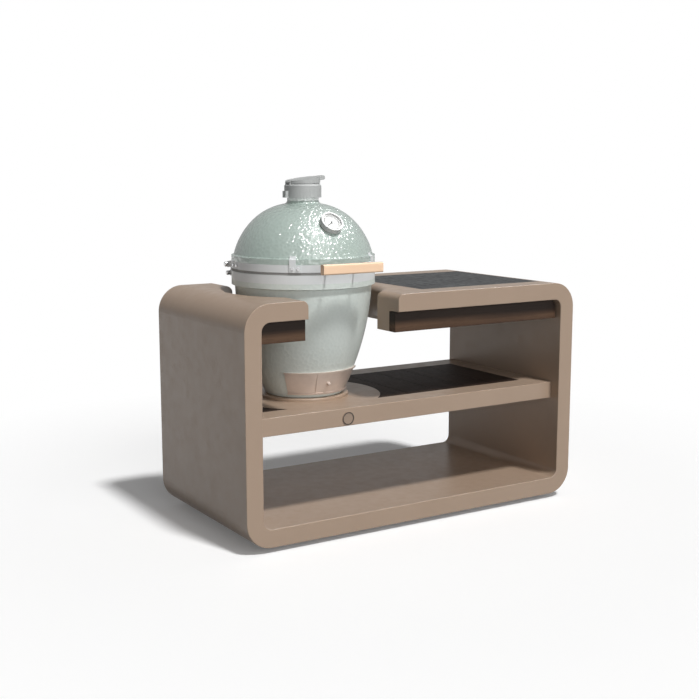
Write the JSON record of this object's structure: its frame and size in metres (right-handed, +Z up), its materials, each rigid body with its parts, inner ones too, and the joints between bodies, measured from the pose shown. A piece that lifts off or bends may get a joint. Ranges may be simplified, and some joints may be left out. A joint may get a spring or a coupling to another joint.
{
  "type": "outdoor kitchen",
  "caption": "Rounded sheet-metal outdoor kitchen with a worktop slab, drawer and slatted shelf, and a hinged-lid ceramic kamado cooker in its round recess.",
  "frame": {"origin": "on the floor, under the middle of the loop", "axes": "+X to the right along the loop, +Y to the back, +Z up"},
  "size_m": [1.5, 0.74, 1.3231],
  "materials": {
    "taupe_coat": "fine textured powder coat",
    "dark_stone": "honed, mottled",
    "dark_wood": "oiled, dark",
    "slat_wood": "oiled, very dark",
    "handle_wood": "varnished, light",
    "zinc_steel": "zinc plated",
    "foot_rubber": "matt",
    "tray_coat": "fine textured powder coat",
    "plate_coat": "fine textured powder coat",
    "badge_metal": "satin",
    "green_glaze": "glossy dimpled glaze, pale green",
    "fire_clay": "bare, matt",
    "cast_iron": "rough cast",
    "steel": "brushed",
    "band_coat": "satin grey",
    "felt": "pressed felt",
    "bright_steel": "polished",
    "cap_coat": "matt grey",
    "bezel": "dark satin",
    "dial": "white enamel",
    "needle": "satin",
    "glass": "clear, polished"
  },
  "bodies": {
    "kitchen": {"outer_shell": "taupe_coat", "inner_shell": "taupe_coat", "front_face": "taupe_coat", "rear_face": "taupe_coat", "left_top_deck": "taupe_coat", "right_top_deck": "taupe_coat", "left_recess_wall": "taupe_coat", "right_recess_wall": "taupe_coat", "drawer_hangers": "taupe_coat", "shelf_tray": "taupe_coat", "shelf_underside": "taupe_coat", "slab_ribs": "taupe_coat", "worktop_ledge": "taupe_coat", "shelf_cleats": "taupe_coat", "worktop_panel": "dark_stone", "slab_rear_fascia": "dark_wood", "stub_front_fascia": "dark_wood", "stub_rear_fascia": "dark_wood", "shelf_slats": "slat_wood", "foot_stems": "zinc_steel", "foot_nuts": "zinc_steel", "runner_cabinet_left": "zinc_steel", "runner_cabinet_right": "zinc_steel", "foot_pads": "foot_rubber", "cooker_plate": "plate_coat", "shelf_badge": "badge_metal", "base": "green_glaze", "fire_box": "fire_clay", "fire_ring": "fire_clay", "fire_grate": "cast_iron", "cooking_grid": "steel", "draft_frame": "steel", "lower_band": "band_coat", "base_gasket": "felt", "hinge_pin": "bright_steel", "hinge_springs": "bright_steel", "lower_band_bolts": "bright_steel"},
    "drawer": {"drawer_front": "dark_wood", "drawer_tray": "tray_coat", "runner_drawer_left": "zinc_steel", "runner_drawer_right": "zinc_steel"},
    "runner_middle": {"runner_middle_left": "zinc_steel", "runner_middle_right": "zinc_steel"},
    "lid": {"dome": "green_glaze", "dome_gasket": "felt", "upper_band": "band_coat", "handle_arms": "band_coat", "handle_bar": "handle_wood", "rim_straps": "band_coat", "upper_band_bolts": "bright_steel", "thermometer_case": "bezel", "thermometer_dial": "dial", "thermometer_glass": "glass", "cap_ring": "cap_coat", "cap_pin": "bright_steel"},
    "chimney_flap": {"cap_flap": "cap_coat"},
    "needle": {"thermometer_needle": "needle"},
    "draft": {"draft_door": "steel"}
  },
  "joints": [
    {"name": "drawer_slide", "type": "slide", "parent": "kitchen", "child": "drawer", "axis": [0, -1, 0], "range_m": [0, 0.38]},
    {"name": "runner_slide", "type": "slide", "parent": "kitchen", "child": "runner_middle", "axis": [0, -1, 0], "range_m": [0, 0.19]},
    {"name": "lid_hinge", "type": "hinge", "parent": "kitchen", "child": "lid", "pos_m": [-0.305, 0.306, 0.972], "axis": [-1, 0, 0], "range_deg": [0, 75]},
    {"name": "flap_hinge", "type": "hinge", "parent": "lid", "child": "chimney_flap", "pos_m": [-0.367, 0, 1.298], "axis": [0, -1, 0], "range_deg": [0, 95]},
    {"name": "needle_turn", "type": "hinge", "parent": "lid", "child": "needle", "pos_m": [-0.305, -0.20238, 1.14545], "axis": [0, 0.7373, -0.6756], "range_deg": [0, 250]},
    {"name": "draft_turn", "type": "hinge", "parent": "kitchen", "child": "draft", "pos_m": [-0.305, 0, 0.555], "axis": [0, 0, 1], "range_deg": [0, 35]}
  ],
  "couplings": [
    {"joint": "runner_slide", "follows": "drawer_slide", "ratio": 0.5}
  ]
}
